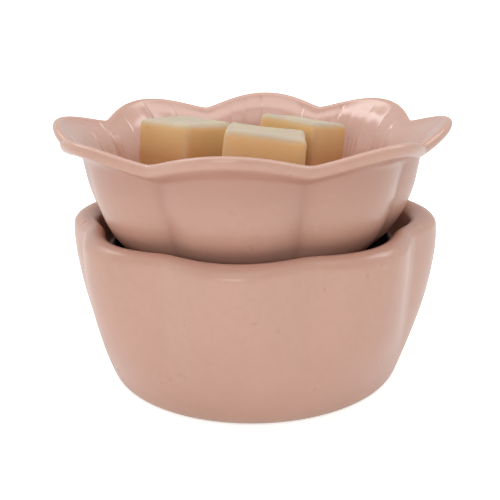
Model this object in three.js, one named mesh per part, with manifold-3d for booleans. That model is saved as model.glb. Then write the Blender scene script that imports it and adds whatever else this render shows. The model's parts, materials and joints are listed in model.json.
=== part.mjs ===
// Electric wax-melt warmer. A petalled ceramic dish with three wax cubes lifts off a lobed
// ceramic base, which holds a hot plate, its flat heater, the wiring and a bottom cover.
// Millimetres, +Z up. The origin is on the ground under the middle of the base.
import * as THREE from 'three';
import { mergeVertices } from 'three/addons/utils/BufferGeometryUtils.js';
import Module from 'manifold-3d';

const wasm = await Module();
wasm.setup();

// ---------------------------------------------------------------- driving dimensions
const GAP = 0.3; // between pieces that touch
const DEGREE = Math.PI / 180;
const WELD = 1e-4;

const PETALS = 8;
const PETAL_POWER = 1.2; // how pointed the petals are
const FLUTED_SEGMENTS = 64;
const ROUND_SEGMENTS = 40;
const SMALL_SEGMENTS = 16;

// Base: the profile numbers are [radius, height, notch depth] on a lobe's centre line.
const FOOT_OUTER = 57;
const FOOT_BOTTOM = 0.5; // the silicone feet carry the ceramic just clear of the ground
const WALL_OUTSIDE = [
  [58, 1.4, 0], [59.2, 4.5, 0], [60.7, 8.7, 0.2], [62.9, 14, 0.9],
  [65.8, 22.5, 3], [68.4, 32.5, 5], [70, 44.5, 6.3], [70.4, 52, 6.6],
];
const WALL_INSIDE = [
  [63.6, 38, 5.4], [62.4, 30, 4.8], [60, 21.5, 2.8], [57.2, 14, 0.9], [55.4, 10, 0.2],
];
const RIM_CENTRE = { r: 64.8, z: 56.5 };
const RIM_RADIUS = 5.5;
const RIM_STEPS = 6;
const RIM_NOTCH_OUTSIDE = 6.6;
const RIM_NOTCH_INSIDE = 2.6;
const RECESS_WALL = [[58.7, 51.5, 2.4], [57.8, 48.7, 2], [56.4, 47.5, 1.5]];
const LEDGE_TOP = 47.5;
const LEDGE_BOTTOM = 42.5;
const LEDGE_HOLE = 50;
const COVER_STEP = { r: 54.4, inner: 50.5, z: 4.3, top: 7.5 };

// Dish: [radius, height, notch depth, notch dip] on a petal's centre line.
const DISH_OUTSIDE = [
  [47.6, 51.9, 0.5, 0], [50.6, 53.4, 1.4, 0], [53.6, 55.7, 2.3, 0], [56.4, 58.8, 3, 0],
  [58.8, 62.8, 3.5, 0], [61, 68, 3.6, 0], [62.7, 74.5, 3.5, 0], [63.6, 80, 3.5, 0.3],
  [64.5, 84.5, 3.8, 1.4], [66, 87.8, 4.5, 2.9], [69, 90.9, 5.5, 4.2],
];
const DISH_INSIDE = [
  [70.4, 94.2, 6.2, 4.8], [66.4, 91.2, 5, 3.9], [63.3, 87.3, 3.9, 2.3], [61, 83, 3.2, 0.9],
  [59.2, 77.5, 2.9, 0.2], [57.6, 71, 3, 0], [55.4, 65.5, 2.9, 0], [51, 61, 2, 0], [45, 58.8, 0.8, 0],
];
const DISH_BOTTOM_RADIUS = 44.5;
const DISH_RING = { r: 38, top: 53 }; // shallow recess inside the dish's foot ring
const DISH_FLOOR = { r: 38, z: 58 };
const LIP = { r: 73.05, z: 95.95, radius: 1.95, notch: 6.75, dip: 5.3 };
const LIP_ARC = [-70, -30, 10, 50, 90, 130, 170];

const WAX = { width: 31.5, depth: 27, height: 34, taper: 0.06, corner: 3, bevel: 1.6 };
const WAX_PLACES = {
  wax_cube_left: { top: [-24.9, 13.6, 94.2], turn: [51.7, 4.9, 0.6] },
  wax_cube_front: { top: [7.5, -11.5, 94.6], turn: [2.6, 7.6, -2.9] },
  wax_cube_right: { top: [19.6, 21.1, 94.6], turn: [62, 6.4, 4.8] },
};

// Hot plate and what hangs under it.
const PLATE = { r: 54.5, top: 51.3, flange: 49.3, underside: 48.8, edge: 0.6 };
const SKIRT = { outer: 48.6, inner: 46.6, bottom: 45.8 };
const GASKET = { outer: 54, inner: 50.8 };
const BOSS = { r: 6, bottom: 46.2 };
const STUD = { r: 2.5, bore: 2.85, top: 50.1, bottom: 33.5 };
const TIE = { radius: 42, angles: [30, 150, 270], acrossFlats: 7, bore: 1.85, pin: 1.5 };
const TIE_BORE_DEPTH = 8;
const PLATE_PIN_BOTTOM = 42.5;

const HEATER = { r: 34, bore: 6.8 };
const MICA = 0.7;
const RIBBON = { legs: 26, outer: 31.5, inner: 10, width: 1.8, thickness: 0.5, lead: 37, endAngle: 8 };
const INSULATION = 3;
const CLAMP_PLATE = { r: 36, thickness: 1.5, bore: 3 };
const WASHER = { r: 5.5, thickness: 0.9, bore: 2.9 };
const NUT = { acrossFlats: 8, thickness: 4 };
const FUSE = { x: 15, y: 17, z: 38, r: 2.3, length: 11 };
const CLIP = { width: 4, thickness: 0.6, foot: 4 };
const WIRE = { r: 1.1, halfSides: 4, steps: 26, gap: 0.3 };
// Where each lead passes on its way, after leaving the heater or the fuse.
const FUSE_LEAD_WAY = [[7, 41, 45], [10.5, 41, 40.5], [14, 35.5, 38], [15, 29, 38]];
const LIVE_LEAD_WAY = [
  [15, 6, 37], [20, 1, 34], [26, 8, 32.5], [26, 24, 32.5], [17, 36, 32.5], [8.5, 40.5, 32],
];
const NEUTRAL_LEAD_WAY = [[-5.8, 41, 45], [-6, 42.5, 40]];

const SHIELD = { r: 47, z: 26, thickness: 0.8, height: 8, hole: 1.9, wireX: 6, wireY: 42, wireHole: 2.6 };
const COVER = { r: 54, bottom: 2, post: 4.5, slotWidth: 2.6, slotInner: 10, slotOuter: 22, slots: 6 };
const COVER_TOP = COVER_STEP.z - GAP;
const SCREW = { r: 1.5, top: 34, headRadius: 2.8, headBottom: 0.6 };
const FEET = { r: 5.5, radius: 44, angles: [45, 135, 225, 315] };

const TERMINAL = { width: 22, depth: 11, height: 10, y: 28.5, wireX: 4.5, wireY: 25.5, screwY: 31 };
const TERMINAL_SCREW = { r: 1.7, length: 4, well: 2.1 };

const GROMMET = { neck: 6, bore: 4.7, flange: 8.6, thickness: 1.4, inside: 3.9, outside: 2.9 };
const CORD_HOLE = { y: 61.1, z: 17, r: 6.4, tilt: 20 }; // the middle of the wall at the back

// ---------------------------------------------------------------- finishes
const finish = (color, roughness, metalness = 0) => (
  new THREE.MeshStandardMaterial({ color, roughness, metalness })
);
const blushGlaze = finish(0xdcab9a, 0.28);
const honeyWax = finish(0xd8b070, 0.5);
const blackCoating = finish(0x1d1a1a, 0.45, 0.2);
const blackPlastic = finish(0x232222, 0.6);
const greySilicone = finish(0x55534f, 0.8);
const silverMica = finish(0xb9ab8c, 0.6);
const brightSteel = finish(0xb8babd, 0.35, 0.9);
const nichrome = finish(0x8a8680, 0.4, 0.9);
const whiteFibre = finish(0xe6e2d8, 0.95);
const aluminium = finish(0xc8cacc, 0.35, 0.9);
const whitePorcelain = finish(0xf0ece2, 0.3);
const brass = finish(0xc9a24a, 0.35, 0.9);
const redSleeve = finish(0xa8402c, 0.7);
const blueSleeve = finish(0x35558c, 0.7);
const creamSleeve = finish(0xe3d9bd, 0.8);

// ---------------------------------------------------------------- shape helpers
const warmer = new THREE.Group();

function add(name, geometry, material, parent = warmer) {
  const mesh = new THREE.Mesh(geometry, material);
  mesh.name = name;
  parent.add(mesh);
  return mesh;
}

// 1 on a petal's centre line, 0 in the notch between two petals.
function petal(angle) {
  const wave = Math.abs(Math.cos((PETALS / 2) * angle));
  return wave ** PETAL_POWER;
}

// A lathe whose rings are drawn in at the notches. The profile lists
// [radius, height, notch depth, notch dip].
function flutedLathe(profile) {
  const outline = profile.map(([radius, height]) => new THREE.Vector2(radius, height));
  const geometry = new THREE.LatheGeometry(outline, FLUTED_SEGMENTS);
  const position = geometry.attributes.position;
  for (let i = 0; i < position.count; i += 1) {
    const [radius, height, depth = 0, dip = 0] = profile[i % profile.length];
    const step = Math.floor(i / profile.length) % FLUTED_SEGMENTS;
    const angle = (2 * Math.PI * step) / FLUTED_SEGMENTS;
    const notch = 1 - petal(angle);
    const reach = radius - depth * notch;
    position.setXYZ(i, reach * Math.sin(angle), -reach * Math.cos(angle), height - dip * notch);
  }
  return geometry;
}

function lathe(profile, segments = ROUND_SEGMENTS) {
  const outline = profile.map(([radius, height]) => new THREE.Vector2(radius, height));
  return new THREE.LatheGeometry(outline, segments).rotateX(Math.PI / 2);
}

// A ring of rectangular section, or a disc when the bore is 0.
function disc(outer, bore, bottom, top, segments = ROUND_SEGMENTS) {
  if (bore === 0) {
    return lathe([[0, bottom], [outer, bottom], [outer, top], [0, top]], segments);
  }
  const section = [[bore, bottom], [outer, bottom], [outer, top], [bore, top], [bore, bottom]];
  return lathe(section, segments);
}

function rod(radius, bottom, top, x = 0, y = 0, segments = SMALL_SEGMENTS) {
  return disc(radius, 0, bottom, top, segments).translate(x, y, 0);
}

function hexagon(acrossFlats, bottom, top, x = 0, y = 0) {
  return disc(acrossFlats / Math.sqrt(3), 0, bottom, top, 6).translate(x, y, 0);
}

function toSolid(geometry) {
  const bare = geometry.clone();
  bare.deleteAttribute('normal');
  bare.deleteAttribute('uv');
  const welded = mergeVertices(bare, WELD);
  return new wasm.Manifold(new wasm.Mesh({
    numProp: 3,
    vertProperties: new Float32Array(welded.attributes.position.array),
    triVerts: new Uint32Array(welded.index.array),
  }));
}

function toGeometry(solid) {
  const mesh = solid.getMesh();
  const geometry = new THREE.BufferGeometry();
  geometry.setAttribute('position', new THREE.BufferAttribute(mesh.vertProperties, 3));
  geometry.setIndex(new THREE.BufferAttribute(mesh.triVerts, 1));
  geometry.computeVertexNormals();
  return geometry;
}

function build(start, { plus = [], minus = [] }) {
  let solid = toSolid(start);
  for (const piece of plus) {
    solid = solid.add(toSolid(piece));
  }
  for (const piece of minus) {
    solid = solid.subtract(toSolid(piece));
  }
  return toGeometry(solid);
}

// Points on a circle about the axis; 0 degrees is +X.
function around(radius, degrees) {
  return [radius * Math.cos(degrees * DEGREE), radius * Math.sin(degrees * DEGREE)];
}

const tiePlaces = TIE.angles.map((degrees) => around(TIE.radius, degrees));

// ---------------------------------------------------------------- base shell
function rimArc() {
  const points = [];
  for (let step = 0; step <= RIM_STEPS; step += 1) {
    const along = step / RIM_STEPS;
    const angle = along * Math.PI;
    points.push([
      RIM_CENTRE.r + RIM_RADIUS * Math.cos(angle),
      RIM_CENTRE.z + RIM_RADIUS * Math.sin(angle),
      RIM_NOTCH_OUTSIDE + along * (RIM_NOTCH_INSIDE - RIM_NOTCH_OUTSIDE),
    ]);
  }
  return points;
}

function grommetFrame() {
  const frame = new THREE.Group();
  frame.position.set(0, CORD_HOLE.y, CORD_HOLE.z);
  frame.rotation.x = -(90 + CORD_HOLE.tilt) * DEGREE;
  frame.updateMatrix();
  return frame;
}

function baseShell() {
  const profile = [
    [COVER_STEP.r, FOOT_BOTTOM], [FOOT_OUTER, FOOT_BOTTOM],
    ...WALL_OUTSIDE, ...rimArc(), ...RECESS_WALL,
    [LEDGE_HOLE, LEDGE_TOP], [LEDGE_HOLE, LEDGE_BOTTOM], [60.5, LEDGE_BOTTOM - 0.5, 4.5],
    ...WALL_INSIDE,
    [COVER_STEP.inner, COVER_STEP.top], [COVER_STEP.inner, COVER_STEP.z],
    [COVER_STEP.r, COVER_STEP.z], [COVER_STEP.r, FOOT_BOTTOM],
  ];
  const cordHole = disc(CORD_HOLE.r, 0, -10, 10, SMALL_SEGMENTS);
  cordHole.applyMatrix4(grommetFrame().matrix);
  return build(flutedLathe(profile), { minus: [cordHole] });
}

// ---------------------------------------------------------------- dish and wax
function dishBody() {
  const lip = LIP_ARC.map((degrees) => [
    LIP.r + LIP.radius * Math.cos(degrees * DEGREE),
    LIP.z + LIP.radius * Math.sin(degrees * DEGREE),
    LIP.notch,
    LIP.dip,
  ]);
  const bottom = PLATE.top + GAP;
  return flutedLathe([
    [0, DISH_RING.top], [DISH_RING.r - 1, DISH_RING.top], [DISH_RING.r, bottom],
    [DISH_BOTTOM_RADIUS, bottom],
    ...DISH_OUTSIDE, ...lip, ...DISH_INSIDE,
    [DISH_FLOOR.r, DISH_FLOOR.z], [0, DISH_FLOOR.z],
  ]);
}

function roundedRectangle(width, depth, corner) {
  const shape = new THREE.Shape();
  const x = width / 2;
  const y = depth / 2;
  shape.moveTo(-x + corner, -y);
  shape.lineTo(x - corner, -y);
  shape.absarc(x - corner, -y + corner, corner, -Math.PI / 2, 0);
  shape.lineTo(x, y - corner);
  shape.absarc(x - corner, y - corner, corner, 0, Math.PI / 2);
  shape.lineTo(-x + corner, y);
  shape.absarc(-x + corner, y - corner, corner, Math.PI / 2, Math.PI);
  shape.lineTo(-x, -y + corner);
  shape.absarc(-x + corner, -y + corner, corner, Math.PI, 1.5 * Math.PI);
  return shape;
}

// The cube's origin is the middle of its top, and it narrows upwards.
function waxCube() {
  const inset = 2 * WAX.bevel;
  const outline = roundedRectangle(WAX.width - inset, WAX.depth - inset, WAX.corner);
  const cube = new THREE.ExtrudeGeometry(outline, {
    depth: WAX.height - inset,
    bevelThickness: WAX.bevel,
    bevelSize: WAX.bevel,
    bevelSegments: 2,
    curveSegments: 3,
  });
  cube.translate(0, 0, WAX.bevel);
  const position = cube.attributes.position;
  for (let i = 0; i < position.count; i += 1) {
    const z = position.getZ(i);
    const scale = 1 - (WAX.taper * z) / WAX.height;
    position.setXYZ(i, position.getX(i) * scale, position.getY(i) * scale, z - WAX.height);
  }
  return cube;
}

// ---------------------------------------------------------------- hot plate and heater stack
function hotPlate() {
  const body = lathe([
    [0, PLATE.underside], [SKIRT.inner, PLATE.underside], [SKIRT.inner, SKIRT.bottom],
    [SKIRT.outer, SKIRT.bottom], [SKIRT.outer, PLATE.flange], [PLATE.r - PLATE.edge, PLATE.flange],
    [PLATE.r, PLATE.flange + PLATE.edge], [PLATE.r, PLATE.top - PLATE.edge],
    [PLATE.r - PLATE.edge, PLATE.top], [0, PLATE.top],
  ]);
  const boss = rod(BOSS.r, BOSS.bottom, PLATE.underside + GAP);
  const pins = tiePlaces.map(([x, y]) => (
    rod(TIE.pin, PLATE_PIN_BOTTOM, PLATE.underside + GAP, x, y)
  ));
  const blindBore = rod(STUD.bore, BOSS.bottom - 1, STUD.top + GAP);
  return build(body, { plus: [boss, ...pins], minus: [blindBore] });
}

// A strip of even width along a flat path, as a closed shape with mitred corners.
function strip(path, width) {
  const left = [];
  const right = [];
  path.forEach((point, i) => {
    const before = path[Math.max(i - 1, 0)];
    const after = path[Math.min(i + 1, path.length - 1)];
    const arriving = point.clone().sub(before);
    const leaving = after.clone().sub(point);
    const first = i === 0 ? leaving.clone() : arriving.clone();
    const second = i === path.length - 1 ? arriving.clone() : leaving.clone();
    const normalA = new THREE.Vector2(-first.y, first.x).normalize();
    const normalB = new THREE.Vector2(-second.y, second.x).normalize();
    const mitre = normalA.clone().add(normalB).normalize();
    mitre.multiplyScalar(width / 2 / mitre.dot(normalA));
    left.push(point.clone().add(mitre));
    right.push(point.clone().sub(mitre));
  });
  return new THREE.Shape([...left, ...right.reverse()]);
}

// The ribbon zigzags round the plate and both its ends come out at the back.
function heatingRibbon(bottom) {
  const first = 90 + RIBBON.endAngle;
  const sweep = 360 - 2 * RIBBON.endAngle;
  const path = [new THREE.Vector2(...around(RIBBON.lead, first))];
  for (let leg = 0; leg < RIBBON.legs; leg += 1) {
    const degrees = first + (sweep * leg) / (RIBBON.legs - 1);
    const inwards = [RIBBON.outer, RIBBON.inner];
    const ends = leg % 2 === 0 ? inwards : inwards.reverse();
    if (leg === 0) {
      ends.shift();
    }
    if (leg === RIBBON.legs - 1) {
      ends.pop();
    }
    ends.forEach((radius) => path.push(new THREE.Vector2(...around(radius, degrees))));
  }
  path.push(new THREE.Vector2(...around(RIBBON.lead, first + sweep)));
  const outline = strip(path, RIBBON.width);
  const ribbon = new THREE.ExtrudeGeometry(outline, { depth: RIBBON.thickness, bevelEnabled: false });
  return ribbon.translate(0, 0, bottom);
}

function addHeaterStack() {
  let level = PLATE.underside - GAP;
  const next = (thickness) => {
    const top = level;
    level = top - thickness - GAP;
    return [top - thickness, top];
  };
  add('mica_upper', disc(HEATER.r, HEATER.bore, ...next(MICA)), silverMica);
  const [ribbonBottom, ribbonTop] = next(RIBBON.thickness);
  add('heating_ribbon', heatingRibbon(ribbonBottom), nichrome);
  add('mica_lower', disc(HEATER.r, HEATER.bore, ...next(MICA)), silverMica);
  add('insulation_pad', disc(HEATER.r, HEATER.bore, ...next(INSULATION)), whiteFibre);
  const [clampBottom, clampTop] = next(CLAMP_PLATE.thickness);
  add('clamp_plate', disc(CLAMP_PLATE.r, CLAMP_PLATE.bore, clampBottom, clampTop), brightSteel);
  const [washerBottom, washerTop] = next(WASHER.thickness);
  add('stud_washer', disc(WASHER.r, WASHER.bore, washerBottom, washerTop, SMALL_SEGMENTS), brightSteel);
  const [nutBottom, nutTop] = next(NUT.thickness);
  const nutBore = rod(WASHER.bore, nutBottom - 1, nutTop + 1);
  add('stud_nut', build(hexagon(NUT.acrossFlats, nutBottom, nutTop), { minus: [nutBore] }), brightSteel);
  add('heater_stud', rod(STUD.r, STUD.bottom, STUD.top), brightSteel);
  return { ribbonMiddle: (ribbonBottom + ribbonTop) / 2, clampBottom };
}

// ---------------------------------------------------------------- thermal cut-out and leads
function fuseBody() {
  const tip = FUSE.r * 0.6;
  const half = FUSE.length / 2;
  const can = lathe([
    [0, -half], [tip, -half], [FUSE.r, -half + 1], [FUSE.r, half - 1], [tip, half], [0, half],
  ], SMALL_SEGMENTS);
  return can.rotateX(Math.PI / 2).translate(FUSE.x, FUSE.y, FUSE.z);
}

// A saddle strap: flat feet on the clamp plate and a half round over the fuse.
function fuseClip(clampBottom) {
  const inside = FUSE.r + GAP;
  const outside = inside + CLIP.thickness;
  const seat = clampBottom - GAP - FUSE.z;
  const shape = new THREE.Shape();
  shape.moveTo(-outside - CLIP.foot, seat - CLIP.thickness);
  shape.lineTo(-outside, seat - CLIP.thickness);
  shape.lineTo(-outside, 0);
  shape.absarc(0, 0, outside, Math.PI, 2 * Math.PI);
  shape.lineTo(outside, seat - CLIP.thickness);
  shape.lineTo(outside + CLIP.foot, seat - CLIP.thickness);
  shape.lineTo(outside + CLIP.foot, seat);
  shape.lineTo(inside, seat);
  shape.lineTo(inside, 0);
  shape.absarc(0, 0, inside, 0, -Math.PI, true);
  shape.lineTo(-inside, seat);
  shape.lineTo(-outside - CLIP.foot, seat);
  const strap = new THREE.ExtrudeGeometry(shape, {
    depth: CLIP.width,
    bevelEnabled: false,
    curveSegments: 10,
  });
  return strap.rotateX(Math.PI / 2).translate(FUSE.x, FUSE.y + CLIP.width / 2, FUSE.z);
}

function wire(points) {
  const route = new THREE.CatmullRomCurve3(points.map((point) => new THREE.Vector3(...point)));
  const section = new THREE.Shape();
  section.absarc(0, 0, WIRE.r, 0, 2 * Math.PI);
  return new THREE.ExtrudeGeometry(section, {
    extrudePath: route,
    steps: WIRE.steps,
    curveSegments: WIRE.halfSides,
  });
}

// From the shield's hole down into the terminal block.
function wayDown(side) {
  const { wireX, wireY, z } = SHIELD;
  const top = COVER_TOP + GAP + TERMINAL.height + WIRE.gap;
  const x = side * TERMINAL.wireX;
  const bendZ = top + 6;
  return [
    [side * wireX, wireY, z + 4],
    [side * wireX, wireY, z - 3],
    [side * (wireX - 0.6), wireY - 4, bendZ],
    [x, TERMINAL.wireY + 4, bendZ],
    [x, TERMINAL.wireY, top + 2.5],
    [x, TERMINAL.wireY, top],
  ];
}

function addWiring({ ribbonMiddle, clampBottom }) {
  add('thermal_fuse', fuseBody(), brightSteel);
  add('fuse_clip', fuseClip(clampBottom), aluminium);
  const half = FUSE.length / 2 + WIRE.gap;
  const start = RIBBON.lead + RIBBON.width / 2 + WIRE.gap;
  const [startX, startY] = around(start, 90 - RIBBON.endAngle);
  add('lead_fuse', wire([
    [startX, startY, ribbonMiddle],
    ...FUSE_LEAD_WAY,
    [FUSE.x, FUSE.y + half, FUSE.z],
  ]), creamSleeve);
  add('lead_live', wire([
    [FUSE.x, FUSE.y - half, FUSE.z],
    ...LIVE_LEAD_WAY,
    ...wayDown(1),
  ]), redSleeve);
  add('lead_neutral', wire([
    [-startX, startY, ribbonMiddle],
    ...NEUTRAL_LEAD_WAY,
    ...wayDown(-1),
  ]), blueSleeve);
}

// ---------------------------------------------------------------- shield, ties and cover
function heatShield() {
  const { r, z, thickness, height } = SHIELD;
  const pan = lathe([
    [0, z], [r, z], [r, z + height], [r - thickness, z + height],
    [r - thickness, z + thickness], [0, z + thickness],
  ]);
  const through = (radius, x, y) => rod(radius, z - 1, z + thickness + 1, x, y);
  return build(pan, {
    minus: [
      ...tiePlaces.map(([x, y]) => through(SHIELD.hole, x, y)),
      through(SHIELD.wireHole, SHIELD.wireX, SHIELD.wireY),
      through(SHIELD.wireHole, -SHIELD.wireX, SHIELD.wireY),
    ],
  });
}

function tieRod([x, y]) {
  const bottom = SHIELD.z + SHIELD.thickness + GAP;
  const top = PLATE.underside - GAP;
  return build(hexagon(TIE.acrossFlats, bottom, top, x, y), {
    minus: [
      rod(TIE.bore, bottom - 1, bottom + TIE_BORE_DEPTH, x, y),
      rod(TIE.bore, top - TIE_BORE_DEPTH, top + 1, x, y),
    ],
  });
}

function ventSlot(degrees) {
  const length = COVER.slotOuter - COVER.slotInner;
  const slot = new THREE.BoxGeometry(length, COVER.slotWidth, COVER_TOP + 2);
  slot.translate((COVER.slotOuter + COVER.slotInner) / 2, 0, COVER_TOP / 2);
  return slot.rotateZ(degrees * DEGREE);
}

function bottomCover() {
  const plate = disc(COVER.r, 0, COVER.bottom, COVER_TOP);
  const posts = tiePlaces.map(([x, y]) => (
    rod(COVER.post, COVER_TOP - 1, SHIELD.z - GAP, x, y, 20)
  ));
  const bores = tiePlaces.map(([x, y]) => rod(TIE.bore, 0, SHIELD.z + 1, x, y));
  const slots = Array.from({ length: COVER.slots }, (_, i) => (
    ventSlot(30 + (360 * i) / COVER.slots)
  ));
  return build(plate, { plus: posts, minus: [...bores, ...slots] });
}

function coverScrew([x, y]) {
  const headTop = COVER.bottom - GAP;
  return lathe([
    [0, SCREW.headBottom], [SCREW.headRadius - 0.4, SCREW.headBottom],
    [SCREW.headRadius, SCREW.headBottom + 0.5], [SCREW.headRadius, headTop],
    [SCREW.r, headTop], [SCREW.r, SCREW.top], [0, SCREW.top],
  ], SMALL_SEGMENTS).translate(x, y, 0);
}

function footPad([x, y]) {
  const top = COVER.bottom - GAP;
  return lathe([
    [0, 0], [FEET.r - 0.4, 0], [FEET.r, 0.4], [FEET.r, top], [0, top],
  ], 24).translate(x, y, 0);
}

function terminalBlock() {
  const bottom = COVER_TOP + GAP;
  const top = bottom + TERMINAL.height;
  const block = new THREE.BoxGeometry(TERMINAL.width, TERMINAL.depth, TERMINAL.height);
  block.translate(0, TERMINAL.y, (bottom + top) / 2);
  const well = (side) => rod(
    TERMINAL_SCREW.well,
    top - TERMINAL_SCREW.length - 2 * GAP,
    top + 1,
    side * TERMINAL.wireX,
    TERMINAL.screwY,
  );
  return build(block, { minus: [well(1), well(-1)] });
}

function terminalScrew(side) {
  const top = COVER_TOP + GAP + TERMINAL.height - GAP;
  const bottom = top - TERMINAL_SCREW.length;
  return rod(TERMINAL_SCREW.r, bottom, top, side * TERMINAL.wireX, TERMINAL.screwY);
}

function cordGrommet() {
  const { neck, bore, flange, thickness, inside, outside } = GROMMET;
  const innerEnd = -inside - thickness;
  const outerEnd = outside + thickness;
  return lathe([
    [bore, innerEnd], [flange, innerEnd], [flange, -inside], [neck, -inside],
    [neck, outside], [flange, outside], [flange, outerEnd], [bore, outerEnd], [bore, innerEnd],
  ], 24);
}

// ---------------------------------------------------------------- assembly
add('base_shell', baseShell(), blushGlaze);
add('dish', dishBody(), blushGlaze);
for (const [name, { top, turn }] of Object.entries(WAX_PLACES)) {
  const cube = add(name, waxCube(), honeyWax);
  const [yaw, pitch, roll] = turn.map((degrees) => degrees * DEGREE);
  cube.position.set(...top);
  cube.rotation.set(roll, pitch, yaw, 'ZYX');
}

add('hot_plate', hotPlate(), blackCoating);
add('plate_gasket', disc(GASKET.outer, GASKET.inner, LEDGE_TOP + GAP, PLATE.flange - GAP), greySilicone);
addWiring(addHeaterStack());

add('heat_shield', heatShield(), aluminium);
add('bottom_cover', bottomCover(), blackPlastic);
tiePlaces.forEach((place, i) => {
  add(`tie_rod_${i + 1}`, tieRod(place), brightSteel);
  add(`cover_screw_${i + 1}`, coverScrew(place), brightSteel);
});
FEET.angles.forEach((degrees, i) => {
  add(`foot_${i + 1}`, footPad(around(FEET.radius, degrees)), greySilicone);
});

add('terminal_block', terminalBlock(), whitePorcelain);
add('terminal_screw_1', terminalScrew(-1), brass);
add('terminal_screw_2', terminalScrew(1), brass);

const grommetPlace = grommetFrame();
add('cord_grommet', cordGrommet(), blackPlastic, grommetPlace);
warmer.add(grommetPlace);

export default warmer;
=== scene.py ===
import json
import math

import bpy
import numpy as np
from mathutils import Euler, Matrix, Vector


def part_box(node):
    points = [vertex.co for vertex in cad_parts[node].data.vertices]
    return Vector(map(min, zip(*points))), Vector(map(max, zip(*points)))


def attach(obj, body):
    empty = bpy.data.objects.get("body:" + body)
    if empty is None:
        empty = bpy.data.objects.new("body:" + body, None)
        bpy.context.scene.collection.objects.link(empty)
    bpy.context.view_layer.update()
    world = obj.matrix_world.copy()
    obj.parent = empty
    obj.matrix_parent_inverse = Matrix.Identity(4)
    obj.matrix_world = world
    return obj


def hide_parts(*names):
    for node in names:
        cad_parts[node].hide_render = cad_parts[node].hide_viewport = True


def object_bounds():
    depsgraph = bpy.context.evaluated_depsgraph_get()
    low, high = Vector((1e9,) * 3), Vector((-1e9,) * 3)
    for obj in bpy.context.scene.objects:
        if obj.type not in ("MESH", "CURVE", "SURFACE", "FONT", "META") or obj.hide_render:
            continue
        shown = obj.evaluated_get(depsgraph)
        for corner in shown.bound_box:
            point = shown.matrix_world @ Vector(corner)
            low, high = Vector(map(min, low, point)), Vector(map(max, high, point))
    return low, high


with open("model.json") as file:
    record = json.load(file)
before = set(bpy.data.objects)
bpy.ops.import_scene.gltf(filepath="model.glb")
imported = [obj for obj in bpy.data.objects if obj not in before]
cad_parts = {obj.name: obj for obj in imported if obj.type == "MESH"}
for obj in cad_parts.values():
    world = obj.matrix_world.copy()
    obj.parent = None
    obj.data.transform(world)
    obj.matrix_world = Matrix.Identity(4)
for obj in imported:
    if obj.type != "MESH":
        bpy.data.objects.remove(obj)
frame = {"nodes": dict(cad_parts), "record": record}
cad_low, cad_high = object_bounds()
nodes = frame["nodes"]
scene = bpy.context.scene
scene.view_settings.view_transform = "Standard"

MM = 0.001
PETALS = 8
PETAL_POWER = 1.2
CREASE_SOFTNESS, CREASE_POWER = 0.002, 0.95

# columns of each lathe, how far each notch is softened, and each piece's step to the right in mm
DISH_COLUMNS, DISH_SOFTNESS, DISH_STEP = 1152, 0.006, -0.2
BASE_COLUMNS, BASE_SOFTNESS, BASE_STEP = 512, 0.02, 0.7
PLATE_COLUMNS = 160
BUSH_COLUMNS = 72

# the cord hole in the back wall, in mm, and how far its axis dips from level, in degrees
HOLE_RADIUS = 6.4
HOLE_MIDDLE = (0, 61.1, 17)
HOLE_LENGTH = 24
HOLE_SIDES = 96
HOLE_TILT = 20

# carved veins of a petal: degrees from its middle, and depth in mm
VEINS = ((-16.5, 0.45), (-9.0, 0.32), (0.8, 0.85), (6.8, 0.30), (13.3, 0.55))


# ------------------------------------------------------------------ camera
CAMERA_AZIMUTH, CAMERA_ELEVATION, CAMERA_ROLL = 5.9, 18.44, -0.93  # degrees
CAMERA_DISTANCE, CAMERA_LENS = 0.3209, 58.16  # metres, and mm of focal length
AIM_HEIGHT = 0.4652  # share of the object's height
AIM_STEP = 0.62  # mm to the left


def place_camera():
    azimuth, elevation, roll = (
        math.radians(angle) for angle in (CAMERA_AZIMUTH, CAMERA_ELEVATION, CAMERA_ROLL)
    )
    back = Vector((
        math.sin(azimuth) * math.cos(elevation),
        -math.cos(azimuth) * math.cos(elevation),
        math.sin(elevation),
    ))
    level = Vector((math.cos(azimuth), math.sin(azimuth), 0))
    upward = level.cross(-back)
    right = level * math.cos(roll) + upward * math.sin(roll)
    up = upward * math.cos(roll) - level * math.sin(roll)
    middle = (cad_low + cad_high) / 2
    aim = Vector((middle.x, middle.y, cad_high.z * AIM_HEIGHT)) - level * AIM_STEP * MM
    data = bpy.data.cameras.new("camera")
    data.lens = CAMERA_LENS
    data.sensor_width = 36
    data.clip_start, data.clip_end = 0.01, 60
    camera = bpy.data.objects.new("camera", data)
    scene.collection.objects.link(camera)
    turn = Matrix((right, up, back)).transposed()
    camera.matrix_world = Matrix.Translation(aim + back * CAMERA_DISTANCE) @ turn.to_4x4()
    scene.camera = camera


# ------------------------------------------------------------------ mesh helpers
RADIUS, HEIGHT, NOTCH, DIP, CORNER, VEIN, GLOSS, BARE, CREASE, LIP_SHADE = range(10)
TINY = 1e-6
CLOSEST_ROWS = 0.02  # mm; nearer rows are merged


def row(r, z, notch=0.0, dip=0.0, corner=9.0, vein=0.0, gloss=0.0, bare=0.0, crease=0.0, lip_shade=0.0):
    """One point of a lathe profile, in mm, with what happens there.

    notch and dip draw it in and down between two petals, and corner is how far its rounding reaches.
    vein, gloss and bare are shares of carved veins, glossier glaze and bare clay. crease sharpens the
    notch and paints shade into its crease, and the last share is painted shade under the lip.
    """
    return (r, z, notch, dip, corner, vein, gloss, bare, crease, lip_shade)


def gap(a, b):
    """The distance between two profile rows."""
    return np.hypot(*(a - b)[:2])


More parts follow.
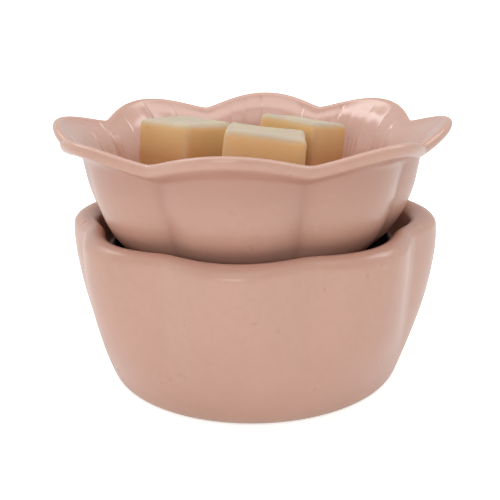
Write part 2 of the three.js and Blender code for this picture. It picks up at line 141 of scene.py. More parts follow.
def soften(rows, closed=False, steps=5):
    """Rounds the polyline at each row, over at most that row's corner reach."""
    points = np.array(rows, float)
    count = len(points)
    out = []
    for i in range(count):
        here = points[i]
        if not closed and i in (0, count - 1):
            out.append(here)
            continue
        before, after = points[i - 1], points[(i + 1) % count]
        lead, trail = gap(before, here), gap(after, here)
        start = here + (before - here) * min(0.5, here[CORNER] / max(lead, TINY))
        end = here + (after - here) * min(0.5, here[CORNER] / max(trail, TINY))
        for step in range(steps + 1):
            t = step / steps
            out.append(start * (1 - t) ** 2 + 2 * here * t * (1 - t) + end * t * t)
    kept = [out[0]]
    for point in out[1:]:
        if gap(point, kept[-1]) > CLOSEST_ROWS:
            kept.append(point)
    if closed and gap(kept[0], kept[-1]) < CLOSEST_ROWS:
        kept.pop()
    return np.array(kept)


def petal(angle, softness, power=PETAL_POWER):
    """1 at the middle of each petal, falling to nearly 0 in the notches."""
    wave = np.cos(0.5 * PETALS * angle) ** 2
    return ((wave + softness) / (1 + softness)) ** (power / 2)


def mesh_object(name, points, faces, smooth=True):
    mesh = bpy.data.meshes.new(name)
    mesh.from_pydata([tuple(p) for p in points], [], faces)
    mesh.validate()
    if smooth:
        mesh.polygons.foreach_set("use_smooth", [True] * len(mesh.polygons))
    mesh.update()
    thing = bpy.data.objects.new(name, mesh)
    scene.collection.objects.link(thing)
    return thing


def give(thing, attribute, values):
    """Stores one number per vertex, for the materials to read."""
    layer = thing.data.attributes.new(attribute, "FLOAT", "POINT")
    layer.data.foreach_set("value", np.asarray(values, np.float32))


def revolve(name, rows, columns, closed=False, softness=0.0, relief=None, wobble=None):
    """A lathe of softened rows in millimetres, drawn in at the notches. Angle 0 faces -Y."""
    profile = soften(rows, closed)
    angle = np.linspace(0, 2 * math.pi, columns, endpoint=False)

    def channel(column):
        return profile[:, column][:, None]

    crease = channel(CREASE)
    sharp = 1 - petal(angle, CREASE_SOFTNESS, CREASE_POWER)
    notch = (1 - crease) * (1 - petal(angle, softness)) + crease * sharp
    reach = channel(RADIUS) - channel(NOTCH) * notch
    height = channel(HEIGHT) - channel(DIP) * notch
    if relief is not None:
        along = np.gradient(profile[:, :2], axis=0)
        along /= np.maximum(np.hypot(along[:, 0], along[:, 1]), TINY)[:, None]
        lift = relief(angle[None, :], height, channel(VEIN))
        reach = reach + lift * along[:, 1][:, None]
        height = height - lift * along[:, 0][:, None]
    if wobble is not None:
        swell, rise = wobble(angle[None, :], height)
        reach = reach * (1 + swell)
        height = height + rise
    x = reach * np.sin(angle)
    y = -reach * np.cos(angle)
    count = len(profile)
    on_axis = [not closed and abs(profile[i, RADIUS]) < TINY for i in (0, count - 1)]
    first, last = (1 if on_axis[0] else 0), (count - 1 if on_axis[1] else count)
    grid = np.stack([x, y, height], -1)[first:last]
    points = grid.reshape(-1, 3)
    rings = last - first
    index = np.arange(rings * columns).reshape(rings, columns)
    after = np.roll(index, -1, axis=1)
    if closed:
        lower, upper = index, np.roll(index, -1, axis=0)
        lower_after, upper_after = after, np.roll(after, -1, axis=0)
    else:
        lower, upper = index[:-1], index[1:]
        lower_after, upper_after = after[:-1], after[1:]
    faces = np.stack([lower, lower_after, upper_after, upper], -1).reshape(-1, 4).tolist()
    finish = slice(VEIN, BARE + 1)
    channels = np.repeat(profile[first:last, finish], columns, axis=0)
    # Known fault: the triangles that close an end on the axis run the wrong way round, so they face inwards.
    extra = []
    for end, ring in ((0, index[0]), (1, index[-1])):
        if on_axis[end]:
            tip = len(points) + len(extra)
            extra.append([0, 0, profile[-end, HEIGHT]])
            channels = np.vstack([channels, profile[-end, finish]])
            ahead = np.roll(ring, -1)
            pairs = zip(ring.tolist(), ahead.tolist())
            faces += [[a, tip, b] if end else [b, tip, a] for a, b in pairs]
    if extra:
        points = np.vstack([points, extra])
    thing = mesh_object(name, points * MM, faces)
    for number, attribute in enumerate(("vein", "gloss", "bare")):
        give(thing, attribute, channels[:, number])
    # painted shade: deep in each sharpened notch, plus the painted shade under the lip
    deep = np.clip(notch * 3 - 2, 0, 1) ** 2
    painted_shade_mask = (crease * deep + channel(LIP_SHADE))[first:last].reshape(-1)
    give(thing, "painted_shade_mask", np.concatenate([painted_shade_mask, np.zeros(len(extra))]))
    return thing


def stands_for(piece, body, slot, *replaced):
    """Shows the piece in place of CAD nodes, riding on their body. The slot argument is not used."""
    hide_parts(*replaced)
    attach(piece, body)
    return piece


# ------------------------------------------------------------------ material helpers
# inputs of the shader whose names aren't plain title case
SOCKETS = {"specular_ior_level": "Specular IOR Level"}


class Nodes:
    """Short calls for building a node material."""

    def __init__(self, name):
        self.material = bpy.data.materials.new(name)
        self.material.use_nodes = True
        self.tree = self.material.node_tree
        self.tree.nodes.clear()
        self.output = self.tree.nodes.new("ShaderNodeOutputMaterial")
        self.shader = self.tree.nodes.new("ShaderNodeBsdfPrincipled")
        self.tree.links.new(self.shader.outputs[0], self.output.inputs[0])
        self.place = self.tree.nodes.new("ShaderNodeTexCoord").outputs["Object"]

    def add(self, kind, inputs=(), **settings):
        node = self.tree.nodes.new(kind)
        for key, value in settings.items():
            setattr(node, key, value)
        for key, value in dict(inputs).items():
            self.put(node.inputs[key], value)
        return node

    def put(self, socket, value):
        if isinstance(value, bpy.types.NodeSocket):
            self.tree.links.new(value, socket)
        elif isinstance(value, (tuple, list)) and len(value) == 3 and socket.type == "RGBA":
            socket.default_value = (*value, 1)
        else:
            socket.default_value = value

    def set(self, **values):
        for key, value in values.items():
            self.put(self.shader.inputs[SOCKETS.get(key) or key.replace("_", " ").title()], value)

    def stretched(self, x, y, z):
        mapping = self.add("ShaderNodeMapping", {"Vector": self.place, "Scale": (x, y, z)})
        return mapping.outputs[0]

    def noise(self, scale, detail=3.0, where=None, rough=0.5):
        node = self.add("ShaderNodeTexNoise", {
            "Vector": where or self.place, "Scale": scale, "Detail": detail, "Roughness": rough,
        })
        return node.outputs["Fac"]

    def spread(self, value, low, high, to_low=0.0, to_high=1.0):
        node = self.add("ShaderNodeMapRange", {
            "Value": value, "From Min": low, "From Max": high, "To Min": to_low, "To Max": to_high,
        })
        return node.outputs[0]

    def math(self, operation, a, b=0.0):
        return self.add("ShaderNodeMath", {0: a, 1: b}, operation=operation).outputs[0]

    def blend(self, amount, a, b, mode="MIX"):
        node = self.add("ShaderNodeMix", data_type="RGBA", blend_type=mode)
        self.put(node.inputs[0], amount)
        self.put(node.inputs[6], a)
        self.put(node.inputs[7], b)
        return node.outputs[2]

    def attribute(self, name):
        return self.add("ShaderNodeAttribute", attribute_name=name).outputs["Fac"]

    def pointiness(self):
        return self.add("ShaderNodeNewGeometry").outputs["Pointiness"]

    def bump(self, height, strength, distance, under=None):
        inputs = {"Height": height, "Strength": strength, "Distance": distance}
        if under is not None:
            inputs["Normal"] = under
        return self.add("ShaderNodeBump", inputs).outputs[0]


def glaze():
    """Satin blush glaze: broad cloudy mottling, paler where it breaks, with painted shade in its hollows, in
    the notch creases and under the lip.
    """
    n = Nodes("blush_glaze")
    cloud = n.spread(n.noise(22, 4), 0.35, 0.65)
    colour = n.blend(cloud, (0.580, 0.334, 0.252), (0.620, 0.361, 0.278))
    fine = n.spread(n.noise(420, 2), 0.40, 0.72)
    colour = n.blend(n.math("MULTIPLY", fine, 0.10), colour, (0.70, 0.47, 0.38))
    point = n.pointiness()
    colour = n.blend(n.spread(point, 0.52, 0.60, 0, 0.22), colour, (0.68, 0.50, 0.43))
    # painted shade: darker in the hollows, where shade falls
    colour = n.blend(n.spread(point, 0.48, 0.40, 0, 0.35), colour, (0.50, 0.24, 0.17))
    gloss = n.attribute("gloss")
    colour = n.blend(n.math("MULTIPLY", gloss, 0.35), colour, (0.66, 0.40, 0.335))
    # painted shade in the notch creases and under the lip
    colour = n.blend(n.math("MULTIPLY", n.attribute("painted_shade_mask"), 0.45), colour, (0.47, 0.245, 0.18))
    bare = n.attribute("bare")
    colour = n.blend(bare, colour, (0.62, 0.50, 0.40))
    rough = n.spread(n.noise(60, 3), 0.3, 0.7, 0.27, 0.33)
    rough = n.math("SUBTRACT", rough, n.math("MULTIPLY", gloss, 0.09))
    rough = n.math("ADD", rough, n.math("MULTIPLY", bare, 0.4))
    soft = n.bump(n.noise(38, 2), 0.3, 0.0006)
    n.set(base_color=colour, roughness=rough, normal=soft, specular_ior_level=0.5)
    n.set(coat_weight=n.math("ADD", n.math("MULTIPLY", gloss, 0.7), 0.25), coat_roughness=0.18)
    return n.material


def wax():
    """Honey wax: light passes into it; painted highlight makes its edges and top paler, and painted shade
    darkens it below the top.
    """
    n = Nodes("honey_wax")
    cloud = n.spread(n.noise(45, 4), 0.3, 0.7)
    colour = n.blend(cloud, (0.75, 0.515, 0.225), (0.81, 0.58, 0.27))
    # painted shade: darker the further below the top
    colour = n.blend(n.attribute("depth"), colour, (0.55, 0.285, 0.115))
    # painted highlight: paler and greyer on the top and along the edges, in patches
    painted_highlight = n.attribute("painted_highlight")
    patch = n.math("MULTIPLY", painted_highlight, n.spread(n.noise(120, 3), 0.3, 0.7, 0.75, 1.0))
    colour = n.blend(patch, colour, (0.45, 0.405, 0.345))
    frost = n.spread(n.noise(900, 2), 0.45, 0.8)
    colour = n.blend(n.math("MULTIPLY", frost, 0.08), colour, (0.64, 0.55, 0.42))
    rough = n.spread(n.noise(150, 3), 0.3, 0.7, 0.40, 0.54)
    dents = n.bump(n.noise(160, 3), 0.25, 0.0005)
    grain = n.bump(n.noise(1400, 2), 0.06, 0.0003, dents)
    n.set(base_color=colour, roughness=rough, normal=grain, specular_ior_level=0.45)
    n.set(subsurface_weight=0.55, subsurface_radius=(0.006, 0.0032, 0.0012), subsurface_scale=1.0)
    return n.material


def plain(name, dark, light, scale, rough, metal=0.0, bump=0.1, stretch=None):
    """A moulded, cast, brushed or felted finish from one noise in two scales."""
    n = Nodes(name)
    where = n.stretched(*stretch) if stretch else n.place
    broad = n.noise(scale * 0.12, 3, where)
    fine = n.noise(scale, 4, where, 0.6)
    shade = n.math("ADD", n.math("MULTIPLY", broad, 0.5), n.math("MULTIPLY", fine, 0.5))
    colour = n.blend(n.spread(shade, 0.35, 0.65), dark, light)
    worn = tuple(min(1, part * 1.5) for part in light)
    colour = n.blend(n.spread(n.pointiness(), 0.52, 0.62, 0, 0.5), colour, worn)
    grain = n.bump(fine, bump, 0.0003)
    n.set(base_color=colour, roughness=n.spread(broad, 0.3, 0.7, rough[0], rough[1]), normal=grain)
    n.set(metallic=metal, specular_ior_level=0.5)
    return n.material


def woven(name, dark, light, pitch):
    """A braided sleeve: two crossing waves."""
    n = Nodes(name)
    waves = []
    for turn in (0.7, -0.7):
        mapping = n.add("ShaderNodeMapping", {"Vector": n.place, "Rotation": (turn, turn, turn)})
        wave = n.add("ShaderNodeTexWave", {"Vector": mapping.outputs[0], "Scale": pitch, "Distortion": 0.4})
        waves.append(wave.outputs["Fac"])
    weave = n.math("MULTIPLY", *waves)
    colour = n.blend(n.spread(weave, 0.05, 0.6), dark, light)
    n.set(base_color=colour, roughness=n.spread(weave, 0, 1, 0.85, 0.65), normal=n.bump(weave, 0.5, 0.0003))
    return n.material


RING_RATE = 5200.0  # radians of the sine per metre of radius


def plate_coating():
    """Black non-stick coating over turned rings."""
    n = Nodes("black_coating")
    parts = n.add("ShaderNodeSeparateXYZ", {"Vector": n.place})
    square = n.math("ADD", n.math("POWER", parts.outputs[0], 2.0), n.math("POWER", parts.outputs[1], 2.0))
    rings = n.math("SINE", n.math("MULTIPLY", n.math("SQRT", square), RING_RATE))
    speckle = n.noise(700, 3)
    colour = n.blend(n.spread(speckle, 0.4, 0.75), (0.010, 0.007, 0.006), (0.028, 0.021, 0.019))
    height = n.math("ADD", n.math("MULTIPLY", rings, 0.15), speckle)
    rough = n.spread(n.noise(90), 0.3, 0.7, 0.42, 0.55)
    n.set(base_color=colour, roughness=rough, normal=n.bump(height, 0.15, 0.0003))
    n.set(specular_ior_level=0.4)
    return n.material


# ------------------------------------------------------------------ ceramic dish
# from the middle of the underside, out to the lip, and back in along the inside
DISH_ROWS = [
    row(0, 53), row(34, 53), row(37.4, 52.9, corner=0.8), row(38.4, 51.6, corner=0.7),
    row(41, 51.6, bare=1), row(44.6, 51.65, 0.1, corner=1.2, bare=0.6),
    row(47.2, 51.95, 0.5, crease=1), row(49.9, 53.4, 1.5, crease=1), row(52.8, 55.7, 2.5, crease=1),
    row(55.6, 58.8, 3.5, crease=1), row(58.2, 62.8, 4.2, crease=1), row(60.7, 68, 4.6, crease=1),
    # the last shares in these rows are painted shade under the lip
    row(62.7, 74.5, 4.6, crease=1, lip_shade=0.2), row(63.6, 80, 4.4, 0.3, crease=1, lip_shade=0.7),
    row(64.3, 85, 4.2, 1.6, crease=0.9, lip_shade=1.2),
    row(65.3, 89.4, 4.5, 3.4, corner=3, crease=0.5, lip_shade=1.5),
    row(69.1, 92.0, 5.5, 4.6, crease=0.2, lip_shade=1.2), row(72.9, 93.3, 6.4, 5.1, corner=2.4, lip_shade=0.6),
    row(74.5, 94.4, 6.7, 5.3), row(75.2, 96.2, 6.75, 5.3),
    row(74.8, 97.6, 6.75, 5.3), row(73.4, 98.1, 6.75, 5.3, gloss=0.3),
    row(71.9, 97.5, 6.7, 5.3, gloss=0.6), row(70.9, 96.3, 6.5, 5.1, gloss=0.8, vein=0.1),
    row(69.0, 94.5, 5.6, 4.6, gloss=1, vein=0.55), row(66.1, 92.1, 5, 4.1, gloss=1, vein=0.9),
    row(63, 87.8, 3.9, 2.5, gloss=1, vein=1), row(61, 83, 3.2, 0.9, gloss=1, vein=1),
    row(59.2, 77.5, 2.9, 0.2, gloss=1, vein=1), row(57.6, 71, 3, gloss=1, vein=0.8),
    row(55.4, 65.5, 2.9, gloss=1, vein=0.5), row(51, 61, 2, gloss=1, vein=0.1),
    row(45, 58.6, 0.8, gloss=1), row(38, 58, gloss=1), row(20, 57.9, gloss=1), row(0, 57.9, gloss=1),
]


def dish_relief(angle, height, vein):
    """Carved veins that fan out inside each petal, with fine ribs low between them."""
    step = 2 * math.pi / PETALS
    number = np.round(angle / step)
    local = np.degrees(angle - number * step)
    depth = np.zeros_like(local)
    for order, (place, strength) in enumerate(VEINS):
        strength = strength * (0.6 + 0.6 * np.sin(2.3 * number + 1.7 * order))
        away = local - place - 0.6 * np.sin(1.9 * number + 2.6 * order)
        steep = np.where(away < 0, 0.35, 1.3)
        depth = depth + strength * np.exp(-np.abs(away / steep) ** 1.3)
    ribs = 0.035 * np.cos(np.radians(local) * (360 / 1.9)) * np.exp(-((height - 78) / 7) ** 2)
    return vein * (ribs - depth)


def dish_wobble(angle, height):
    """The small swell and rise of a hand-finished rim, growing towards the lip."""
    high = np.clip((height - 60) / 36, 0, 1)
    swell = high * (0.0022 * np.sin(2 * angle + 0.8) + 0.0016 * np.sin(3 * angle + 2.1))
    lean = 0.3 + 0.35 * np.cos(angle)
    ripple = 0.16 * np.sin(2 * angle + 2.5) + 0.10 * np.sin(5 * angle + 0.4)
    return swell, high * (lean + ripple)


# ------------------------------------------------------------------ ceramic base
RIM_MIDDLE = (65.5, 56.8)
RIM_HALF_WIDTH, RIM_RISE = 5.6, 5.65
RIM_NOTCH_OUTSIDE, RIM_NOTCH_LOSS = 6.8, 4.2
RIM_STEPS = 9


def rim_rows():
    """The rim's half round, from the outside over the top to the inside."""
    rows = []
    for step in range(1, RIM_STEPS):
        share = step / RIM_STEPS
        turn = share * math.pi
        r = RIM_MIDDLE[0] + RIM_HALF_WIDTH * math.cos(turn)
        z = RIM_MIDDLE[1] + RIM_RISE * math.sin(turn)
        rows.append(row(r, z, RIM_NOTCH_OUTSIDE - RIM_NOTCH_LOSS * share))
    return rows


# from the foot, up the outside, over the rim, down past the ledge and back to the foot
BASE_ROWS = [
    row(54.4, 0.55, corner=0.3, bare=1), row(56.3, 0.5, corner=0.5, bare=1),
    row(57.3, 1.2, bare=0.3), row(58.6, 4.5), row(60.1, 8.7, 0.2), row(62.3, 14, 0.9),
    row(65.5, 22.5, 3), row(68.4, 32.5, 5), row(70.4, 44.5, 6.4), row(71, 52, 6.8),
    *rim_rows(),
    row(59.7, 53.5, 2.45), row(58.7, 48.9, 2, corner=3), row(57.2, 47.5, 1.5, corner=0.8),
    row(50, 47.5, corner=0.6), row(50, 42.5, corner=0.6), row(60.5, 42, 4.5, corner=1.2),
    row(63.6, 38, 5.4), row(62.4, 30, 4.8), row(60, 21.5, 2.8), row(57.2, 14, 0.9), row(55.4, 10, 0.2),
    row(50.5, 7.5, corner=0.5, bare=0.5), row(50.5, 4.3, corner=0.2, bare=1),
    row(54.4, 4.3, corner=0.1, bare=1),
]


def base_wobble(angle, height):
    """A small swell that grows over the lowest 40 mm, with no rise."""
    swell = 0.0014 * np.sin(3 * angle + 0.5) + 0.0012 * np.sin(2 * angle + 1.4)
    return swell * np.clip(height / 40, 0, 1), 0.0


# ------------------------------------------------------------------ wax
# each cube's size in mm, its yaw, pitch and roll in degrees, and in mm its step to the right, how far its
# top has slanted down by its middle, starting from its own -x side, and how far its top rises
WAX_CUBES = {
    "wax_cube_left": ((27.5, 28.5, 34.0), (54.7, 4.9, 0.6), -1.5, 0.0, 0.8),
    "wax_cube_front": ((31.0, 27.0, 34.0), (2.6, 7.6, -2.9), 0.0, 0.0, 1.2),
    "wax_cube_right": ((30.5, 27.0, 34.0), (66, 6.4, 4.8), 0.8, 0.9, 0.8),
}
WAX_TAPER = 0.06
WAX_CELLS = 28
WAX_TOP_RADIUS, WAX_RADIUS = 2.5, 3.0
WAX_SUNKEN = 0.55
WAX_SIDE_WAVE, WAX_TOP_WAVE = 0.22, 0.16


def cube_grid(cells):
    """The vertices and faces of a cube from -1 to 1, each side cut into cells."""
    line = np.linspace(-1, 1, cells + 1)
    points, faces, lookup = [], [], {}

    def vertex(a, b, c):
        key = (round(a, 5), round(b, 5), round(c, 5))
        if key not in lookup:
            lookup[key] = len(points)
            points.append((a, b, c))
        return lookup[key]

    for axis in range(3):
        for side in (-1, 1):
            for i in range(cells):
                for j in range(cells):
                    corners = []
                    for di, dj in ((0, 0), (1, 0), (1, 1), (0, 1)):
                        place = [0, 0, 0]
                        place[axis] = side
                        place[(axis + 1) % 3] = line[i + di]
                        place[(axis + 2) % 3] = line[j + dj]
                        corners.append(vertex(*place))
                    faces.append(corners if side > 0 else corners[::-1])
    return np.array(points), faces


def wax_block(name, size, turn, aside, slant, proud, number):
    """A rounded, tapering block with a slightly sunken top, turned and placed like its solid."""
    half = np.array(size) / 2
    unit, faces = cube_grid(WAX_CELLS)
    warp = np.sign(unit) * (1 - (1 - np.abs(unit)) ** 1.25)
    box_points = warp * half
    radius = np.where(unit[:, 2] > 0, WAX_TOP_RADIUS, WAX_RADIUS)[:, None]
    inner = np.clip(box_points, -(half - radius), half - radius)
    away = box_points - inner
    length = np.maximum(np.linalg.norm(away, axis=1), TINY)[:, None]
    shape = inner + away / length * radius
    u, v, w = (shape / half).T
    middle_u, middle_v = (1 - np.clip(np.abs(part), 0, 1) ** 3 for part in (u, v))
    shape[:, 2] -= np.where(w > 0.8, WAX_SUNKEN * middle_u * middle_v, 0)
    shape[:, :2] *= (1 - WAX_TAPER * (w + 1) / 2)[:, None]
    phase = number * 1.7
    shape[:, 0] += WAX_SIDE_WAVE * np.sin(2.1 * v + 1.3 * w + phase) * (1 - np.abs(u) * 0.1)
    shape[:, 1] += WAX_SIDE_WAVE * np.sin(1.8 * u - 1.6 * w + 2 * phase)
    shape[:, 2] += WAX_TOP_WAVE * np.sin(2.4 * u + 1.9 * v + 3 * phase)
    yaw, pitch, roll = (math.radians(d) for d in turn)
    spin = np.array(Euler((roll, pitch, yaw), "XYZ").to_matrix())
    turned = shape @ spin.T
    low, high = (np.array(corner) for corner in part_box(name))
    centre = (low + high) / 2 / MM
    turned += centre - (turned.min(0) + turned.max(0)) / 2
    share = ((w + 1) / 2)[:, None] * np.array([[0, 0, 1]])
    turned += share * (proud - slant * (u + 1))[:, None] + np.array([aside, 0, 0])
    piece = mesh_object(name + "_soft", turned * MM, faces)
    # painted highlight along the edges and on the top
    edge = np.sort(np.abs(np.stack([u, v, w])), axis=0)[1]
    edge_highlight = np.clip((edge - 0.80) / 0.2, 0, 1) * 0.35
    top_highlight = np.clip((w - 0.86) / 0.12, 0, 1) * 0.8
    give(piece, "painted_highlight", np.clip(edge_highlight + top_highlight, 0, 1))
    # painted shade, growing below the top of the block
    give(piece, "depth", np.clip((0.92 - w) / 0.75, 0, 1))
    return piece


# ------------------------------------------------------------------ smaller turned pieces
# the underside with its boss, its rim and its flange, then the flat top
PLATE_ROWS = [
    row(0, 46.2), row(6, 46.2, corner=0.5), row(6, 48.8, corner=0.4), row(46.6, 48.8, corner=0.3),
    row(46.6, 45.8, corner=0.3), row(48.6, 45.8, corner=0.3), row(48.6, 49.3, corner=0.4),
    row(54.2, 49.3, corner=0.4), row(54.5, 49.8, corner=0.3), row(54.5, 50.8, corner=0.5),
    row(53.9, 51.3, corner=0.5), row(0, 51.3),
]


def hole_turn():
    """Turns +Z to point out of the back wall along the cord hole."""
    return Matrix.Rotation(math.radians(-90 - HOLE_TILT), 4, "X")


def grommet(name):
    """The cord bush, built on its own axis and laid into the wall's hole."""
    rows = [
        row(4.7, -5.3, corner=0.5), row(8.6, -5.3, corner=0.6), row(8.6, -3.9, corner=0.5),
        row(6, -3.9, corner=0.2), row(6, 2.9, corner=0.2), row(8.6, 2.9, corner=0.4),
        row(8.6, 3.9, corner=0.7), row(7.6, 4.3, corner=0.7), row(4.7, 4.3, corner=0.9),
    ]
    piece = revolve(name, rows, BUSH_COLUMNS, closed=True)
    low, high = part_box("cord_grommet")
    piece.data.transform(hole_turn())
    points = np.array([p.co for p in piece.data.vertices])
    middle = (points.min(0) + points.max(0)) / 2
    piece.data.transform(Matrix.Translation((low + high) / 2 - Vector(middle)))
    return piece


def pierce(piece):
    """Cuts the round cord hole, square to the sloping back wall."""
    ring = np.linspace(0, 2 * math.pi, HOLE_SIDES, endpoint=False)
    ends = [
        (HOLE_RADIUS * math.cos(angle), HOLE_RADIUS * math.sin(angle), end)
        for end in (-HOLE_LENGTH / 2, HOLE_LENGTH / 2) for angle in ring
    ]
    lower = list(range(HOLE_SIDES))
    upper = [HOLE_SIDES + i for i in lower]
    faces = [[i, (i + 1) % HOLE_SIDES, upper[(i + 1) % HOLE_SIDES], upper[i]] for i in lower]
    cutter = mesh_object("cutter", np.array(ends) * MM, faces + [lower[::-1], upper])
    cutter.matrix_world = Matrix.Translation(Vector(HOLE_MIDDLE) * MM) @ hole_turn()
    cut = piece.modifiers.new("cord_hole", "BOOLEAN")
    cut.object, cut.operation, cut.solver = cutter, "DIFFERENCE", "EXACT"
    bpy.context.view_layer.update()
    ready = piece.evaluated_get(bpy.context.evaluated_depsgraph_get())
    piece.data = bpy.data.meshes.new_from_object(ready)
    piece.modifiers.clear()
    bpy.data.objects.remove(cutter)


def assign(thing, material):
    thing.data.materials.clear()
    thing.data.materials.append(material)


place_camera()
glazed = glaze()

dish = revolve(
    "dish_ceramic", DISH_ROWS, DISH_COLUMNS,
    softness=DISH_SOFTNESS, relief=dish_relief, wobble=dish_wobble,
)
dish.data.transform(Matrix.Translation((DISH_STEP * MM, 0, 0)))
assign(dish, glazed)
stands_for(dish, "dish", "blush_glaze", "dish")

base = revolve(
    "base_ceramic", BASE_ROWS, BASE_COLUMNS,
    closed=True, softness=BASE_SOFTNESS, wobble=base_wobble,
)
base.data.transform(Matrix.Translation((BASE_STEP * MM, 0, 0)))
pierce(base)
assign(base, glazed)
stands_for(base, "base", "blush_glaze", "base_shell")

honey = wax()
for number, (name, shape) in enumerate(WAX_CUBES.items(), 1):
    block = wax_block(name, *shape, number)
    assign(block, honey)
    stands_for(block, name.replace("wax_cube", "wax"), "honey_wax", name)

plate = revolve("hot_plate_disc", PLATE_ROWS, PLATE_COLUMNS)
assign(plate, plate_coating())
stands_for(plate, "base", "black_coating", "hot_plate")

bush = grommet("cord_bush")
# slot: dark colour, light colour, scale of the grain, lowest and highest roughness, then what differs
PLAIN = {
    "black_plastic": ((0.010, 0.010, 0.011), (0.028, 0.028, 0.030), 900, (0.5, 0.66), {"bump": 0.2}),
    "grey_silicone": ((0.085, 0.082, 0.078), (0.13, 0.125, 0.118), 500, (0.7, 0.85), {"bump": 0.1}),
    "bright_steel": (
        (0.42, 0.43, 0.45), (0.66, 0.67, 0.69), 600, (0.25, 0.42),
        {"metal": 1.0, "bump": 0.08, "stretch": (1, 1, 9)},
    ),
    "silver_mica": ((0.36, 0.29, 0.18), (0.62, 0.54, 0.38), 260, (0.35, 0.6), {"bump": 0.3}),
    "nichrome": (
        (0.22, 0.20, 0.18), (0.42, 0.39, 0.35), 500, (0.3, 0.5),
        {"metal": 1.0, "bump": 0.1, "stretch": (8, 8, 1)},
    ),
    "white_fibre": ((0.66, 0.63, 0.56), (0.86, 0.84, 0.78), 700, (0.9, 1.0), {"bump": 0.8}),
    "aluminium": (
        (0.48, 0.49, 0.50), (0.74, 0.75, 0.76), 420, (0.28, 0.45),
        {"metal": 1.0, "bump": 0.1, "stretch": (1, 7, 1)},
    ),
    "white_porcelain": ((0.72, 0.69, 0.62), (0.84, 0.82, 0.76), 220, (0.35, 0.5), {"bump": 0.1}),
    "brass": (
        (0.48, 0.30, 0.08), (0.72, 0.50, 0.16), 500, (0.25, 0.4),
        {"metal": 1.0, "bump": 0.1, "stretch": (1, 1, 8)},
    ),
    "red_sleeve": ((0.28, 0.04, 0.025), (0.42, 0.075, 0.045), 400, (0.55, 0.7), {"bump": 0.2}),
    "blue_sleeve": ((0.025, 0.07, 0.22), (0.05, 0.12, 0.34), 400, (0.55, 0.7), {"bump": 0.2}),
}
FINISHES = {
    slot: plain(slot, dark, light, scale, rough, **rest)
    for slot, (dark, light, scale, rough, rest) in PLAIN.items()
}
FINISHES["cream_sleeve"] = woven("cream_sleeve", (0.50, 0.43, 0.28), (0.80, 0.74, 0.58), 500)
assign(bush, FINISHES["black_plastic"])
stands_for(bush, "base", "black_plastic", "cord_grommet")

for part in frame["record"]["subparts"]:
    finish = FINISHES.get(part["material_slot"])
    node = nodes[part["node"]]
    if finish is not None and not node.hide_render:
        assign(node, finish)


# ------------------------------------------------------------------ floor and light
LAMP_AIM = Vector((0, 0, 0.05))
# name, azimuth, elevation, distance, width, height, watts; azimuth 0 is in front of the object
LAMPS = (
    ("above", 180, 80, 1.0, 0.9, 0.7, 3.0),
    ("front", 0, 60, 1.0, 0.9, 0.5, 1.5),
    ("low", -6, 20, 1.0, 0.5, 0.3, 2.4),
    ("left", -118, 50, 1.0, 0.4, 0.4, 1.5),
    ("right", 116, 48, 1.0, 0.4, 0.4, 1.4),
)
# the sky's strength from each side, blended by direction
SKY = (((1, 0, 0), 0.92), ((-1, 0, 0), 1.08), ((0, 1, 0), 0.6), ((0, 0, 1), 0.34))
SKY_SHOWN = 1.5  # the least the camera sees of it, so that the background stays white
FLOOR_GLOW = 0.14
FLOOR_RADIUS, FLOOR_SIDES = 9.0, 64


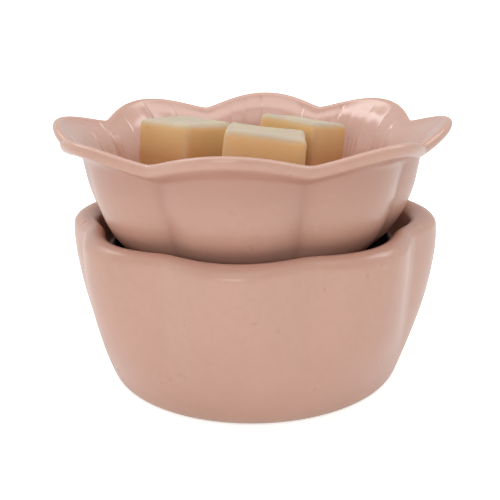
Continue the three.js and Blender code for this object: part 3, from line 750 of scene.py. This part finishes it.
def floor_and_light():
    turns = np.linspace(0, 2 * math.pi, FLOOR_SIDES, endpoint=False)
    ring = [(FLOOR_RADIUS * math.cos(turn), FLOOR_RADIUS * math.sin(turn), 0) for turn in turns]
    floor = mesh_object("floor", ring, [list(range(FLOOR_SIDES))], smooth=False)
    n = Nodes("floor_paper")
    tone = n.blend(n.spread(n.noise(3, 2), 0.3, 0.7), (0.90, 0.90, 0.90), (0.92, 0.92, 0.92))
    n.set(base_color=tone, roughness=0.9, specular_ior_level=0.1)
    away = n.add("ShaderNodeVectorMath", {0: n.place}, operation="LENGTH").outputs["Value"]
    n.set(emission_color=(1, 1, 1), emission_strength=n.spread(away, 0.06, 0.3, 0.55, 1.0))
    bounce = n.add("ShaderNodeBsdfPrincipled", {"Base Color": (0.85, 0.85, 0.85), "Roughness": 0.95})
    bounce.inputs["Emission Color"].default_value = (1, 1, 1, 1)
    bounce.inputs["Emission Strength"].default_value = FLOOR_GLOW
    seen = n.add("ShaderNodeLightPath").outputs["Is Camera Ray"]
    mixed = n.add("ShaderNodeMixShader", {0: seen, 1: bounce.outputs[0], 2: n.shader.outputs[0]})
    n.tree.links.new(mixed.outputs[0], n.output.inputs[0])
    assign(floor, n.material)

    world = bpy.data.worlds.new("studio")
    world.use_nodes = True
    links = world.node_tree.links

    def join(kind, operation, a, b):
        node = world.node_tree.nodes.new(kind)
        node.operation = operation
        for socket, value in zip(node.inputs, (a, b)):
            if isinstance(value, bpy.types.NodeSocket):
                links.new(value, socket)
            else:
                socket.default_value = value
        return node.outputs[1 if operation == "DOT_PRODUCT" else 0]

    way = world.node_tree.nodes.new("ShaderNodeTexCoord").outputs["Generated"]
    total = 0.0
    for direction, strength in SKY:
        facing = join("ShaderNodeVectorMath", "DOT_PRODUCT", way, direction)
        facing = join("ShaderNodeMath", "MAXIMUM", facing, 0.0)
        share = join("ShaderNodeMath", "POWER", facing, 2.0)
        share = join("ShaderNodeMath", "MULTIPLY", share, strength)
        total = join("ShaderNodeMath", "ADD", share, total)
    seen = world.node_tree.nodes.new("ShaderNodeLightPath").outputs["Is Camera Ray"]
    least = join("ShaderNodeMath", "MULTIPLY", seen, SKY_SHOWN)
    shown = join("ShaderNodeMath", "MAXIMUM", total, least)
    background = world.node_tree.nodes["Background"]
    links.new(shown, background.inputs["Strength"])
    background.inputs["Color"].default_value = (1, 1, 1, 1)
    scene.world = world

    for name, azimuth, elevation, distance, width, height, power in LAMPS:
        data = bpy.data.lights.new(name, "AREA")
        data.shape = "RECTANGLE"
        data.size, data.size_y = width, height
        data.energy = power
        lamp = bpy.data.objects.new(name, data)
        scene.collection.objects.link(lamp)
        turn, rise = math.radians(azimuth), math.radians(elevation)
        away = Vector((
            math.sin(turn) * math.cos(rise),
            -math.cos(turn) * math.cos(rise),
            math.sin(rise),
        ))
        lamp.location = LAMP_AIM + away * distance
        lamp.rotation_euler = away.to_track_quat("Z", "Y").to_euler()


floor_and_light()
